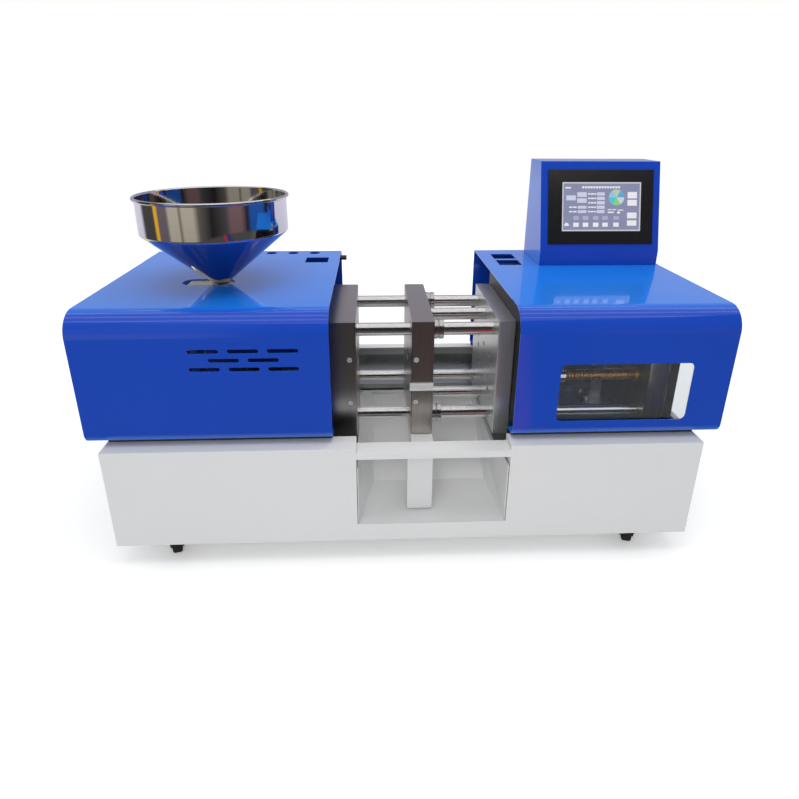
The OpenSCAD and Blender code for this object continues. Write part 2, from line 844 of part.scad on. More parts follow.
// One rail block, with 0.3 mm of air round the rail
module rail_block(x) {
    air = 0.3;
    difference() {
        block([x, -17, bed_top + 6], [x + 44, 17, carriage_z]);
        block([x - 1, -rail_w / 2 - air, bed_top], [x + 45, rail_w / 2 + air, bed_top + rail_h + air]);
    }
}

// Pale plastic shield on the neck that keeps granules out of the cover's slot
module slot_shield() {
    color("beige") place() difference() {
        translate([hopper_x - 56, axis_y - 19, cover_top - 5.5]) cube([88, 38, 3]);
        translate([hopper_x, axis_y, cover_top - 6.5])
            cylinder(h = 5, r = neck_d / 2 + 0.4 + hopper_t + fit);
    }
}

// Feed block under the hopper, which also holds the barrel's back end
module feed_block() {
    color("gray") place() difference() {
        block([feed_x0, axis_y - 40, carriage_top], [feed_x1, axis_y + 40, axis_z + 42]);
        bar_x(feed_x0 - 1, barrel_x0 + 0.1, 12, axis_y, axis_z);
        bar_x(barrel_x0, feed_x1 + 1, barrel_d / 2 + fit, axis_y, axis_z);
        translate([hopper_x, axis_y, axis_z]) cylinder(h = 50, r = 10);
        bar_x(feed_x0 - 1, feed_x1 + 1, 9, axis_y, injection_screw_z);
        for (side = [-1, 1])
            bar_x(feed_x0 - 1, feed_x0 + 20, guide_rod_r + fit, axis_y + side * guide_rod_dy, guide_rod_z);
    }
}

// Heated barrel with the bore that the plasticising screw runs in
module barrel() {
    color("gray") place() difference() {
        bar_x(barrel_x0, barrel_x1, barrel_d / 2, axis_y, axis_z);
        bar_x(barrel_x0 - 1, barrel_x1 - 12, 11, axis_y, axis_z);
        bar_x(barrel_x1 - 13, barrel_x1 + 1, 9, axis_y, axis_z);
        translate([hopper_x, axis_y, axis_z + 5]) cylinder(h = 30, r = 6);
    }
}

// Three band heaters with their clamping lugs
module heater_bands() {
    color("silver") place() for (x = [-272, -228, -184]) difference() {
        union() {
            bar_x(x, x + 34, barrel_d / 2 + 4, axis_y, axis_z);
            block([x + 8, axis_y - 8, axis_z + barrel_d / 2],
                  [x + 26, axis_y + 8, axis_z + barrel_d / 2 + 14]);
        }
        bar_x(x - 1, x + 35, barrel_d / 2 + 0.1, axis_y, axis_z);
        block([x - 1, axis_y - 1.5, axis_z], [x + 35, axis_y + 1.5, axis_z + 50]);
    }
}

// Nozzle screwed into the barrel's front
module nozzle() {
    color("goldenrod") place() difference() {
        union() {
            bar_x(barrel_x1 - 12, barrel_x1 + 0.1, 8.95, axis_y, axis_z);
            bar_x(barrel_x1 + 0.1, barrel_x1 + 18, 17, axis_y, axis_z);
            cone_x(barrel_x1 + 18 - eps, fixed_face - 25, 14, 9, axis_y, axis_z);
            cone_x(fixed_face - 25 - eps, fixed_face - 21, 9, 5, axis_y, axis_z);
        }
        bar_x(barrel_x1 - 13, fixed_face, 2, axis_y, axis_z);
    }
}

// Neck between the feed block and the hopper, with a slot for the shut-off
module hopper_neck() {
    z0 = axis_z + 42;
    color("silver") place() difference() {
        union() {
            translate([hopper_x, axis_y, z0]) cylinder(h = 8, r = 32);
            translate([hopper_x, axis_y, z0 + 7]) cylinder(h = 92, d = neck_d);
            translate([hopper_x, axis_y, z0 + 91]) cylinder(h = 8, r = neck_d / 2 + hopper_t);
            translate([hopper_x - 26, axis_y - 22, z0 + 22]) cube([52, 44, 12]);
        }
        translate([hopper_x, axis_y, z0 - 1]) cylinder(h = 101, r = 10);
        translate([hopper_x - 14.1, axis_y - 23, z0 + 25.9]) cube([28.2, 46, 4.2]);
    }
}

// Stainless hopper: cone, cylinder and rolled rim as one spun shell
module hopper() {
    cone_z = hopper_rim_z - hopper_wall_h;
    cone_low = axis_z + 42 + 99;
    r = hopper_d / 2;
    t = hopper_t;
    color("silver") place() translate([hopper_x, axis_y, 0]) rotate_extrude($fn = 128) {
        polygon([
            [neck_d / 2, cone_low], [neck_d / 2 + t, cone_low], [r, cone_z],
            [r, hopper_rim_z - 3], [r - t, hopper_rim_z - 3], [r - t, cone_z + t / 2],
        ]);
        translate([r + 1.5, hopper_rim_z - 3]) circle(3);
    }
}

// Shut-off gate in the neck's slot, with a hole that lines up with the neck when open
module shutoff_gate() {
    z0 = axis_z + 42 + 26;
    color("dimgray") place() {
        difference() {
            translate([hopper_x - 14, axis_y - 30, z0]) cube([28, 72, 4]);
            translate([hopper_x, axis_y, z0 - 1]) cylinder(h = 6, r = 9.5);
        }
        translate([hopper_x, axis_y - 30, z0 + 2]) rotate([90, 0, 0]) cylinder(h = 12, r = 1.9);
        translate([hopper_x, axis_y - 48, z0 + 2]) sphere(8);
    }
}

// Motor of the injection screw, under the barrel
module injection_motor() {
    color("dimgray") place() difference() {
        plate_x(feed_x1, feed_x1 + 66, axis_y - 20, axis_y + 20, carriage_top, carriage_top + 40, 1);
        bar_x(feed_x1 - 1, feed_x1 + 30, 4 + fit, axis_y, injection_screw_z);
    }
}

// Two rods that guide the drive plate
module guide_rods() {
    color("silver") place() for (side = [-1, 1])
        bar_x(injection_end_x, feed_x0 + 19, guide_rod_r, axis_y + side * guide_rod_dy, guide_rod_z);
}

// Plate at the injection unit's left end
module injection_end_plate() {
    x1 = injection_end_x + end_plate_t;
    color("gray") place() difference() {
        block([injection_end_x, axis_y - 45, carriage_top], [x1, axis_y + 45, 300]);
        for (side = [-1, 1])
            bar_x(injection_end_x - 1, x1 + 1, guide_rod_r + fit, axis_y + side * guide_rod_dy, guide_rod_z);
        bar_x(injection_end_x + 2, x1 + 1, 4 + fit, axis_y, injection_screw_z);
    }
}

// Plate that pushes the plasticising screw and carries its motor
module drive_plate() {
    x1 = drive_plate_x + drive_plate_t;
    color("gray") place() difference() {
        block([drive_plate_x, axis_y - 45, carriage_top + 3], [x1, axis_y + 45, 300]);
        for (side = [-1, 1])
            bar_x(drive_plate_x - 1, x1 + 1, guide_rod_r + fit, axis_y + side * guide_rod_dy, guide_rod_z);
        bar_x(drive_plate_x - 1, x1 + 1, 10 + fit, axis_y, axis_z);
        bar_x(drive_plate_x - 1, x1 + 1, 11.05, axis_y, injection_screw_z);
    }
}

// Motor that turns the plasticising screw
module plasticising_motor() {
    color("dimgray") place() difference() {
        plate_x(drive_plate_x - 50, drive_plate_x, axis_y - 21, axis_y + 21, axis_z - 21, axis_z + 21, 1);
        bar_x(drive_plate_x - 25, drive_plate_x + 1, 7 + fit, axis_y, axis_z);
    }
}

// Ball nut of the injection screw, in the drive plate
module injection_nut() {
    x1 = drive_plate_x + drive_plate_t;
    color("silver") place() difference() {
        union() {
            bar_x(drive_plate_x - 12, x1 - 0.5, 11, axis_y, injection_screw_z);
            bar_x(drive_plate_x - 6, drive_plate_x - 0.1, 17, axis_y, injection_screw_z);
        }
        bar_x(drive_plate_x - 13, x1 + 1, 6 + fit, axis_y, injection_screw_z);
    }
}

// Plasticising screw with its shank in the drive plate
module plasticising_screw() {
    flight_pitch = 18;
    screw_x1 = barrel_x1 - 26;
    color("silver") place() {
        bar_x(drive_plate_x - 22, drive_plate_x + eps, 7, axis_y, axis_z);
        bar_x(drive_plate_x, drive_plate_x + drive_plate_t, 10, axis_y, axis_z);
        bar_x(drive_plate_x + drive_plate_t - eps, screw_x1, 7.5, axis_y, axis_z);
        for (x = [barrel_x0 + 3 : flight_pitch : screw_x1 - 4])
            bar_x(x, x + 3, 10.9, axis_y, axis_z);
        cone_x(screw_x1 - eps, screw_x1 + 12, 7.5, 1, axis_y, axis_z);
    }
}

// Ball screw that drives the injection stroke
module injection_ball_screw() {
    color("silver") place() {
        bar_x(injection_end_x + 3, injection_end_x + end_plate_t + 2, 4, axis_y, injection_screw_z);
        bar_x(injection_end_x + end_plate_t + 1, feed_x0 - 2, 6, axis_y, injection_screw_z);
        bar_x(feed_x0 - 3, feed_x1 + 25, 4, axis_y, injection_screw_z);
    }
}

// ---------------------------------------------------------------- castors

// Puts a castor's moving pieces, drawn trailing towards +X, at its place and heading
module at_castor(right, back, heading) {
    place() translate([right * castor_x, castor_at_y(back), 0]) rotate([0, 0, heading]) children();
}

// Pressed fork with its axle
module castor_fork() {
    axle_z = castor_wheel_r - castor_h;
    color([0.2, 0.2, 0.22]) {
        difference() {
            union() {
                translate([0, 0, -8]) cylinder(h = 2.4, d = 26);
                for (side = [-1, 1]) translate([0, side * 9.7, 0]) rotate([90, 0, 0])
                    linear_extrude(2, center = true) polygon([
                        [-9, -6], [9, -6], [castor_trail + 6, axle_z - 3],
                        [castor_trail - 1, axle_z - 6], [castor_trail - 6, axle_z - 2],
                    ]);
            }
            translate([0, 0, -13]) cylinder(h = 10, d = 8 + 2 * fit);
        }
        translate([castor_trail, 10.7, axle_z]) rotate([90, 0, 0]) cylinder(h = 21.4, d = 5);
    }
}

// Rubber-tyred wheel
module castor_wheel() {
    half = 7.6;
    color([0.12, 0.12, 0.13]) translate([castor_trail, 0, castor_wheel_r - castor_h]) rotate([90, 0, 0])
        rotate_extrude() difference() {
            translate([2.5 + fit, -half]) square([castor_wheel_r - 2.5 - fit, 2 * half]);
            translate([castor_wheel_r, half]) rotate(180) corner_waste(3);
            translate([castor_wheel_r, -half]) rotate(90) corner_waste(3);
            translate([5, half - 1.5]) square([4.5, 3]);
            translate([5, -half - 1.5]) square([4.5, 3]);
        }
}

module castor_fork_fl() {
    at_castor(-1, 0, heading_fl) castor_fork();
}

module castor_fork_fr() {
    at_castor(1, 0, heading_fr) castor_fork();
}

module castor_fork_rl() {
    at_castor(-1, 1, heading_rl) castor_fork();
}

module castor_fork_rr() {
    at_castor(1, 1, heading_rr) castor_fork();
}

module castor_wheel_fl() {
    at_castor(-1, 0, heading_fl) castor_wheel();
}

module castor_wheel_fr() {
    at_castor(1, 0, heading_fr) castor_wheel();
}

module castor_wheel_rl() {
    at_castor(-1, 1, heading_rl) castor_wheel();
}

module castor_wheel_rr() {
    at_castor(1, 1, heading_rr) castor_wheel();
}

base_cabinet();
bed_plate();
cover_strips();
drop_chute();
electrics();
power_inlet();
left_cover();
right_cover();
window_pane();
hmi_box();
hmi_bezel();
hmi_screen();
fixed_platen();
sprue_bush();
support_plate();
guard_sheets();
rear_plate();
tie_bars();
tie_bar_nuts();
platen_screws();
motor_bracket();
clamp_motor();
timing_belt();
slide_rails();
castor_plates();
moving_platen();
moving_platen_screws();
guide_bushes();
position_flag();
push_rods();
crosshead();
ball_nuts();
drive_screw_front();
drive_screw_rear();
motor_pulley();
carriage_plate();
slot_shield();
feed_block();
barrel();
heater_bands();
nozzle();
hopper();
hopper_neck();
shutoff_gate();
injection_motor();
guide_rods();
injection_end_plate();
drive_plate();
plasticising_motor();
injection_nut();
plasticising_screw();
injection_ball_screw();
castor_fork_fl();
castor_fork_fr();
castor_fork_rl();
castor_fork_rr();
castor_wheel_fl();
castor_wheel_fr();
castor_wheel_rl();
castor_wheel_rr();
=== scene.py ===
# %% [markdown]
# A desktop injection moulding machine
#
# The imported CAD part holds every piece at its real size. This script dresses it: it sets up a
# camera, a pale studio and the finishes, rounds the edges that catch the light, and makes the
# few fine things that a CAD solid leaves out, such as screw threads and the lit display.

import json
import math

import bmesh
import bpy
from mathutils import Matrix, Vector

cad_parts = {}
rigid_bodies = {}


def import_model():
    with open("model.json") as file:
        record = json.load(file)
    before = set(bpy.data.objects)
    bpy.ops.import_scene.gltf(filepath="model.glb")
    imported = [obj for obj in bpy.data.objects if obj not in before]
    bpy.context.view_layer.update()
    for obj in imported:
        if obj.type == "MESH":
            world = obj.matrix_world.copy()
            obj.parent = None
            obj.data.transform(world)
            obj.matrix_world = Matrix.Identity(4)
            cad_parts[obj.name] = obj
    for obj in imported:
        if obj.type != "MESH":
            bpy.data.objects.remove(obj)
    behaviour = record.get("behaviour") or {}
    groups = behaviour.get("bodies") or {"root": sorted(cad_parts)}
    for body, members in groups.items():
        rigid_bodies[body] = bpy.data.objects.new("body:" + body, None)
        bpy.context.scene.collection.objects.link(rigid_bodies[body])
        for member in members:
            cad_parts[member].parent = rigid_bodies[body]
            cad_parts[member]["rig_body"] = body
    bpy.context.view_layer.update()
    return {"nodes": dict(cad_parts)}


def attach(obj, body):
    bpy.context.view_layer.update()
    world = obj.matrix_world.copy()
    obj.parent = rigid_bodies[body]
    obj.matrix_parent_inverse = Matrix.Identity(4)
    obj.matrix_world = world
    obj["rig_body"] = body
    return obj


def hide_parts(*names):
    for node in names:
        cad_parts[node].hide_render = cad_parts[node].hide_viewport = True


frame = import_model()
nodes = frame["nodes"]
scene = bpy.context.scene

# %% [markdown]
# The camera stands in front of the machine, a little to the right and above it, and looks down.
# A wide lens close by gives the strong perspective of a hand-held shot. The lens could be
# tilted to frame the machine, but a shifted lens keeps the uprights as they are.

# %% Camera
CAMERA_PLACE = Vector((-0.0559, -1.0491, 0.7020))
CAMERA_YAW = math.radians(2.725)
CAMERA_PITCH = math.radians(21.431)
CAMERA_ROLL = math.radians(0.326)

camera_data = bpy.data.cameras.new("camera")
camera_data.sensor_width = 36
camera_data.lens = 26.75
camera_data.shift_x = -0.0006
camera_data.shift_y = -0.0607
camera_data.clip_start = 0.05
camera = bpy.data.objects.new("camera", camera_data)
scene.collection.objects.link(camera)
camera.matrix_world = (
    Matrix.Translation(CAMERA_PLACE)
    @ Matrix.Rotation(-CAMERA_YAW, 4, "Z")
    @ Matrix.Rotation(math.pi / 2 - CAMERA_PITCH, 4, "X")
    @ Matrix.Rotation(CAMERA_ROLL, 4, "Z")
)
scene.camera = camera
scene.view_settings.view_transform = "Standard"
print("camera", [round(v, 3) for v in camera.location], "lens", camera_data.lens)

# %% [markdown]
# The studio is a white sweep: a pale floor that fades out, so no horizon shows, under one big
# soft lamp and a weaker one in front. The world is white where it is seen, and weaker and a
# little blue where it only lights.
#
# Polished metal and glossy paint show what stands round them, so a plain white room would leave
# them flat and pale. A ring of dark and beige panels stands round the machine, as in an
# exhibition hall, with a carpet inside it and rows of bright tubes on its ceiling. Only
# reflections see the hall, and it throws no light or shadow. The lamps are left out of the
# reflections, where they would show as bright specks, and the tubes stand in for them.

# %% Studio helpers
def link(tree, source, target):
    """Joins two sockets."""
    tree.links.new(source, target)


def node(tree, kind, **settings):
    """Adds a shader node. Settings that name an input set that input, the rest set the node."""
    made = tree.nodes.new(kind)
    for key, value in settings.items():
        if hasattr(made, key):
            setattr(made, key, value)
        else:
            made.inputs[key.replace("_", " ")].default_value = value
    return made


def math_node(tree, operation, first, second=0.0):
    """Adds a Math node. Each operand is a number or a socket."""
    made = node(tree, "ShaderNodeMath", operation=operation)
    for index, value in enumerate((first, second)):
        if hasattr(value, "is_output"):
            link(tree, value, made.inputs[index])
        else:
            made.inputs[index].default_value = value
    return made.outputs[0]


def ramp(tree, factor, stops, interpolation="LINEAR"):
    """Adds a Color Ramp on a factor, with stops of (place, colour)."""
    made = node(tree, "ShaderNodeValToRGB")
    made.color_ramp.interpolation = interpolation
    elements = made.color_ramp.elements
    while len(elements) < len(stops):
        elements.new(0.5)
    for element, (place, colour) in zip(elements, stops):
        element.position = place
        element.color = (*colour, 1)
    link(tree, factor, made.inputs[0])
    return made.outputs["Color"]


def new_object(name, mesh_maker):
    """A mesh object whose bmesh is filled by mesh_maker."""
    mesh = bpy.data.meshes.new(name)
    shape = bmesh.new()
    mesh_maker(shape)
    shape.to_mesh(mesh)
    shape.free()
    made = bpy.data.objects.new(name, mesh)
    scene.collection.objects.link(made)
    return made


# %% World
world = bpy.data.worlds.new("studio")
scene.world = world
world.use_nodes = True
tree = world.node_tree
tree.nodes.clear()
rays = node(tree, "ShaderNodeLightPath")
seen = math_node(tree, "MAXIMUM", rays.outputs["Is Camera Ray"], rays.outputs["Is Glossy Ray"])
seen = math_node(tree, "MAXIMUM", seen, rays.outputs["Is Transmission Ray"])
backdrop = node(tree, "ShaderNodeBackground", Color=(1, 1, 1, 1), Strength=1.0)
fill = node(tree, "ShaderNodeBackground", Color=(0.96, 0.98, 1, 1), Strength=0.62)
mixed = node(tree, "ShaderNodeMixShader")
link(tree, seen, mixed.inputs[0])
link(tree, fill.outputs[0], mixed.inputs[1])
link(tree, backdrop.outputs[0], mixed.inputs[2])
output = node(tree, "ShaderNodeOutputWorld")
link(tree, mixed.outputs[0], output.inputs[0])


# %% Floor
FLOOR_RADIUS = 2.4
FADE_START = 0.9


def floor_mesh(shape):
    bmesh.ops.create_circle(shape, cap_ends=True, segments=96, radius=FLOOR_RADIUS)


floor = new_object("floor", floor_mesh)
floor_material = bpy.data.materials.new("pale_floor")
floor_material.use_nodes = True
tree = floor_material.node_tree
tree.nodes.clear()
place = node(tree, "ShaderNodeTexCoord")
length = node(tree, "ShaderNodeVectorMath", operation="LENGTH")
link(tree, place.outputs["Object"], length.inputs[0])
fade = node(tree, "ShaderNodeMapRange", From_Min=FADE_START, From_Max=FLOOR_RADIUS - 0.1)
link(tree, length.outputs["Value"], fade.inputs["Value"])
pale = node(tree, "ShaderNodeBsdfDiffuse", Color=(0.93, 0.93, 0.93, 1))
clear = node(tree, "ShaderNodeBsdfTransparent")
mixed = node(tree, "ShaderNodeMixShader")
link(tree, fade.outputs[0], mixed.inputs[0])
link(tree, pale.outputs[0], mixed.inputs[1])
link(tree, clear.outputs[0], mixed.inputs[2])
lift = node(tree, "ShaderNodeEmission", Color=(1, 1, 1, 1))
rays = node(tree, "ShaderNodeLightPath")
link(tree, math_node(tree, "MULTIPLY", rays.outputs["Is Camera Ray"], 0.25), lift.inputs["Strength"])
both = node(tree, "ShaderNodeAddShader")
link(tree, mixed.outputs[0], both.inputs[0])
link(tree, lift.outputs[0], both.inputs[1])
output = node(tree, "ShaderNodeOutputMaterial")
link(tree, both.outputs[0], output.inputs[0])
floor.data.materials.append(floor_material)


# %% Lamps
def soft_lamp(name, place, target, size, power):
    """A rectangular lamp at place that faces target; size is (width, height) in metres."""
    data = bpy.data.lights.new(name, "AREA")
    data.shape = "RECTANGLE"
    data.size, data.size_y = size
    data.energy = power
    lamp = bpy.data.objects.new(name, data)
    scene.collection.objects.link(lamp)
    lamp.location = place
    lamp.rotation_euler = (Vector(target) - Vector(place)).to_track_quat("-Z", "Y").to_euler()
    lamp.visible_glossy = False


soft_lamp("ceiling_lamp", (0.1, -0.15, 2.3), (0, 0, 0.3), (2.4, 1.4), 25)
soft_lamp("front_fill", (-0.6, -2.6, 1.5), (0, 0, 0.3), (1.6, 1.2), 14)

# %% Reflected hall
HALL_RADIUS = 1.75
HALL_HEIGHT = 2.1


def only_reflected(stage_piece):
    """Leaves a piece of the stage to glossy rays alone."""
    for ray in ("camera", "diffuse", "shadow", "transmission", "volume_scatter"):
        setattr(stage_piece, "visible_" + ray, False)


def glowing(stage_piece, name, colour_maker):
    """Gives a piece of the stage a plain glow; colour_maker(tree) returns its colour socket."""
    made = bpy.data.materials.new(name)
    made.use_nodes = True
    tree = made.node_tree
    tree.nodes.clear()
    glow = node(tree, "ShaderNodeEmission", Strength=1.0)
    link(tree, colour_maker(tree), glow.inputs["Color"])
    output = node(tree, "ShaderNodeOutputMaterial")
    link(tree, glow.outputs[0], output.inputs[0])
    made.cycles.emission_sampling = "NONE"
    stage_piece.data.materials.append(made)


def hall_mesh(shape):
    bmesh.ops.create_cone(shape, cap_ends=False, segments=96, radius1=HALL_RADIUS, radius2=HALL_RADIUS,
                          depth=HALL_HEIGHT)
    bmesh.ops.translate(shape, verts=shape.verts, vec=(0, 0, HALL_HEIGHT / 2))
    bmesh.ops.reverse_faces(shape, faces=shape.faces)


def grey(value, warm=0.0):
    """A grey, a little warm where warm is above zero."""
    return (value * (1 + warm), value, value * (1 - warm))


def multiplied(tree, first, second):
    """One colour socket times another."""
    mix = node(tree, "ShaderNodeMix", data_type="RGBA", blend_type="MULTIPLY")
    mix.inputs["Factor"].default_value = 1.0
    link(tree, first, mix.inputs[6])
    link(tree, second, mix.inputs[7])
    return mix.outputs[2]


def object_parts(tree):
    """The X, Y and Z sockets of the place on a piece of the stage."""
    place = node(tree, "ShaderNodeTexCoord")
    parts = node(tree, "ShaderNodeSeparateXYZ")
    link(tree, place.outputs["Object"], parts.inputs[0])
    return parts.outputs["X"], parts.outputs["Y"], parts.outputs["Z"]


DARK, SLATE, MAUVE, CREAM = (0.02, 0.018, 0.02), (0.07, 0.068, 0.07), (0.16, 0.13, 0.15), (0.5, 0.46, 0.38)
BROWN, ROSE, GOLD, LILAC = (0.13, 0.115, 0.1), (0.2, 0.12, 0.13), (0.9, 0.5, 0.03), (0.78, 0.75, 0.9)
FIELD_BLUE = (0.02, 0.1, 0.42)


def hall_colour(tree):
    """Panels by bearing, with the middle of the ramp in front and the bright end of the hall behind."""
    across, along, up = object_parts(tree)
    bearing = math_node(tree, "ARCTAN2", across, math_node(tree, "MULTIPLY", along, -1.0))
    turn = math_node(tree, "MULTIPLY_ADD", bearing, 1 / math.tau)
    turn.node.inputs[2].default_value = 0.5
    panels = ramp(tree, turn, [
        (0.0, LILAC), (0.2, LILAC), (0.22, SLATE), (0.275, SLATE), (0.28, GOLD), (0.29, GOLD),
        (0.295, MAUVE), (0.33, MAUVE), (0.34, CREAM), (0.375, CREAM), (0.38, BROWN), (0.39, CREAM),
        (0.43, CREAM), (0.45, BROWN), (0.5, DARK), (0.56, SLATE), (0.58, ROSE), (0.63, ROSE),
        (0.66, DARK), (0.68, FIELD_BLUE), (0.75, FIELD_BLUE), (0.77, DARK), (0.79, DARK), (0.8, GOLD),
        (0.815, GOLD), (0.83, LILAC), (1.0, LILAC),
    ])
    rise = ramp(tree, math_node(tree, "DIVIDE", up, HALL_HEIGHT), [
        (0.0, grey(0.8)), (0.2, grey(1.0)), (0.3, grey(0.55)), (0.5, grey(0.45)), (0.8, grey(0.4)),
    ])
    return multiplied(tree, panels, rise)


def carpet_mesh(shape):
    bmesh.ops.create_circle(shape, cap_ends=True, segments=96, radius=HALL_RADIUS)
    bmesh.ops.translate(shape, verts=shape.verts, vec=(0, 0, 0.001))


def carpet_colour(tree):
    """A dark carpet in front with a red and a blue runner on the right, and a pale floor behind."""
    across, along, _ = object_parts(tree)
    depth = math_node(tree, "MULTIPLY_ADD", along, 0.5)
    depth.node.inputs[2].default_value = 0.5
    ground = ramp(tree, depth, [
        (0.1, grey(0.07)), (0.3, grey(0.12, 0.06)), (0.42, grey(0.11, 0.06)), (0.7, grey(0.7)),
    ])
    slant = math_node(tree, "MULTIPLY_ADD", along, 0.24)
    link(tree, across, slant.node.inputs[2])
    runner = ramp(tree, math_node(tree, "ADD", slant, 0.3), [
        (0.355, grey(1.0)), (0.37, (7.0, 0.3, 0.6)), (0.46, (7.0, 0.3, 0.6)), (0.48, (0.3, 0.6, 2.8)),
        (0.6, (0.3, 0.6, 2.2)), (0.75, grey(1.0)),
    ])
    front = ramp(tree, depth, [(0.25, grey(1.0)), (0.3, grey(0.0))])
    patch = node(tree, "ShaderNodeMix", data_type="RGBA")
    link(tree, front, patch.inputs["Factor"])
    patch.inputs[6].default_value = (1, 1, 1, 1)
    link(tree, runner, patch.inputs[7])
    return multiplied(tree, ground, patch.outputs[2])


def ceiling_mesh(shape):
    bmesh.ops.create_circle(shape, cap_ends=True, segments=96, radius=HALL_RADIUS + 0.02)
    bmesh.ops.translate(shape, verts=shape.verts, vec=(0, 0, HALL_HEIGHT - 0.01))
    bmesh.ops.reverse_faces(shape, faces=shape.faces)


def ceiling_colour(tree):
    """A mid-grey ceiling with rows of bright tubes along X."""
    along = object_parts(tree)[1]
    row = math_node(tree, "PINGPONG", math_node(tree, "ADD", along, 0.25), 0.35)
    return ramp(tree, row, [(0.04, grey(1.9)), (0.12, grey(0.55, 0.03)), (0.35, grey(0.48, 0.03))])


hall = new_object("reflected_hall", hall_mesh)
glowing(hall, "hall_panels", hall_colour)
carpet = new_object("reflected_carpet", carpet_mesh)
glowing(carpet, "hall_carpet", carpet_colour)
ceiling = new_object("reflected_ceiling", ceiling_mesh)
glowing(ceiling, "hall_ceiling", ceiling_colour)
for stage_piece in (hall, carpet, ceiling):
    only_reflected(stage_piece)
print("studio: floor, 2 lamps and a reflected hall", HALL_RADIUS, "m round the machine")

# %% [markdown]
# Shared effects are node groups, so that each material can place them with its own values.
# Smudges varies a surface's roughness in large soft patches, as fingers and wiping leave them.
# Skin is the small unevenness of paint or plastic, as a bump. Grinding draws the fine parallel
# scratches of ground or drawn metal. Specks scatters dust, and Shade gives a slow change of
# colour over a large sheet. All of them read the place on the object in metres.

# %% Shader groups
def group(name, inputs, outputs):
    """A node group with its sockets. Inputs and outputs are (name, kind, default)."""
    made = bpy.data.node_groups.new(name, "ShaderNodeTree")
    for direction, sockets in (("INPUT", inputs), ("OUTPUT", outputs)):
        for label, kind, default in sockets:
            socket = made.interface.new_socket(label, in_out=direction, socket_type=kind)
            if default is not None:
                socket.default_value = default
    start = made.nodes.new("NodeGroupInput")
    end = made.nodes.new("NodeGroupOutput")
    return made, start.outputs, end.inputs


FLOAT, COLOUR, VECTOR = "NodeSocketFloat", "NodeSocketColor", "NodeSocketVector"


def object_noise(tree, scale, detail=2.0, stretch=None):
    """Noise at the object's own place; scale is a number or a socket, stretch a socket."""
    place = node(tree, "ShaderNodeTexCoord").outputs["Object"]
    if stretch is not None:
        mapping = node(tree, "ShaderNodeMapping")
        link(tree, place, mapping.inputs["Vector"])
        link(tree, stretch, mapping.inputs["Scale"])
        place = mapping.outputs["Vector"]
    noise = node(tree, "ShaderNodeTexNoise", Detail=detail)
    link(tree, place, noise.inputs["Vector"])
    if hasattr(scale, "is_output"):
        link(tree, scale, noise.inputs["Scale"])
    else:
        noise.inputs["Scale"].default_value = scale
    return noise.outputs["Fac"]


def make_smudges():
    inputs = [("Base", FLOAT, 0.3), ("Spread", FLOAT, 0.1), ("Scale", FLOAT, 9.0)]
    made, start, end = group("smudges", inputs, [("Roughness", FLOAT, None)])
    patches = math_node(made, "SUBTRACT", object_noise(made, start["Scale"], 4.0), 0.5)
    change = math_node(made, "MULTIPLY", patches, start["Spread"])
    total = node(made, "ShaderNodeMath", operation="ADD", use_clamp=True)
    link(made, change, total.inputs[0])
    link(made, start["Base"], total.inputs[1])
    link(made, total.outputs[0], end["Roughness"])
    return made


def make_skin():
    inputs = [("Scale", FLOAT, 900.0), ("Depth", FLOAT, 0.02)]
    made, start, end = group("skin", inputs, [("Normal", VECTOR, None)])
    bump = node(made, "ShaderNodeBump", Distance=0.0004)
    link(made, object_noise(made, start["Scale"], 1.0), bump.inputs["Height"])
    link(made, start["Depth"], bump.inputs["Strength"])
    link(made, bump.outputs[0], end["Normal"])
    return made


def make_grinding():
    made, start, end = group("grinding", [("Stretch", VECTOR, (40, 900, 40)), ("Depth", FLOAT, 0.1)],
                             [("Lines", FLOAT, None), ("Normal", VECTOR, None)])
    lines = object_noise(made, 1.0, 3.0, start["Stretch"])
    bump = node(made, "ShaderNodeBump", Distance=0.0002)
    link(made, lines, bump.inputs["Height"])
    link(made, start["Depth"], bump.inputs["Strength"])
    link(made, lines, end["Lines"])
    link(made, bump.outputs[0], end["Normal"])
    return made


def make_specks():
    inputs = [("Scale", FLOAT, 160.0), ("Amount", FLOAT, 0.2)]
    made, start, end = group("specks", inputs, [("Mask", FLOAT, None)])
    grains = object_noise(made, start["Scale"], 2.0)
    patches = object_noise(made, 7.0, 2.0)
    sharp = node(made, "ShaderNodeMapRange", From_Min=0.66, From_Max=0.74)
    link(made, grains, sharp.inputs["Value"])
    mask = math_node(made, "MULTIPLY", sharp.outputs[0], patches)
    link(made, math_node(made, "MULTIPLY", mask, start["Amount"]), end["Mask"])
    return made


def make_shade():
    made, start, end = group("shade", [("Light", COLOUR, (1, 1, 1, 1)), ("Dark", COLOUR, (0, 0, 0, 1)),
                                       ("Scale", FLOAT, 3.0)], [("Color", COLOUR, None)])
    mix = node(made, "ShaderNodeMix", data_type="RGBA")
    link(made, object_noise(made, start["Scale"], 3.0), mix.inputs["Factor"])
    link(made, start["Dark"], mix.inputs[6])
    link(made, start["Light"], mix.inputs[7])
    link(made, mix.outputs[2], end["Color"])
    return made


SMUDGES, SKIN, GRINDING = make_smudges(), make_skin(), make_grinding()
SPECKS, SHADE = make_specks(), make_shade()
print("shader groups:", [g.name for g in bpy.data.node_groups])


# %% Material helpers
def use_group(tree, made, **values):
    """Places a shader group in a material with its own values."""
    placed = node(tree, "ShaderNodeGroup")
    placed.node_tree = made
    for key, value in values.items():
        placed.inputs[key].default_value = value
    return placed.outputs


def finish_material(name, **values):
    """A material with a Principled shader; values name its sockets, with _ for a space."""
    made = bpy.data.materials.new(name)
    made.use_nodes = True
    tree = made.node_tree
    shader = tree.nodes["Principled BSDF"]
    for key, value in values.items():
        shader.inputs[key.replace("_", " ")].default_value = value
    return made, tree, shader.inputs


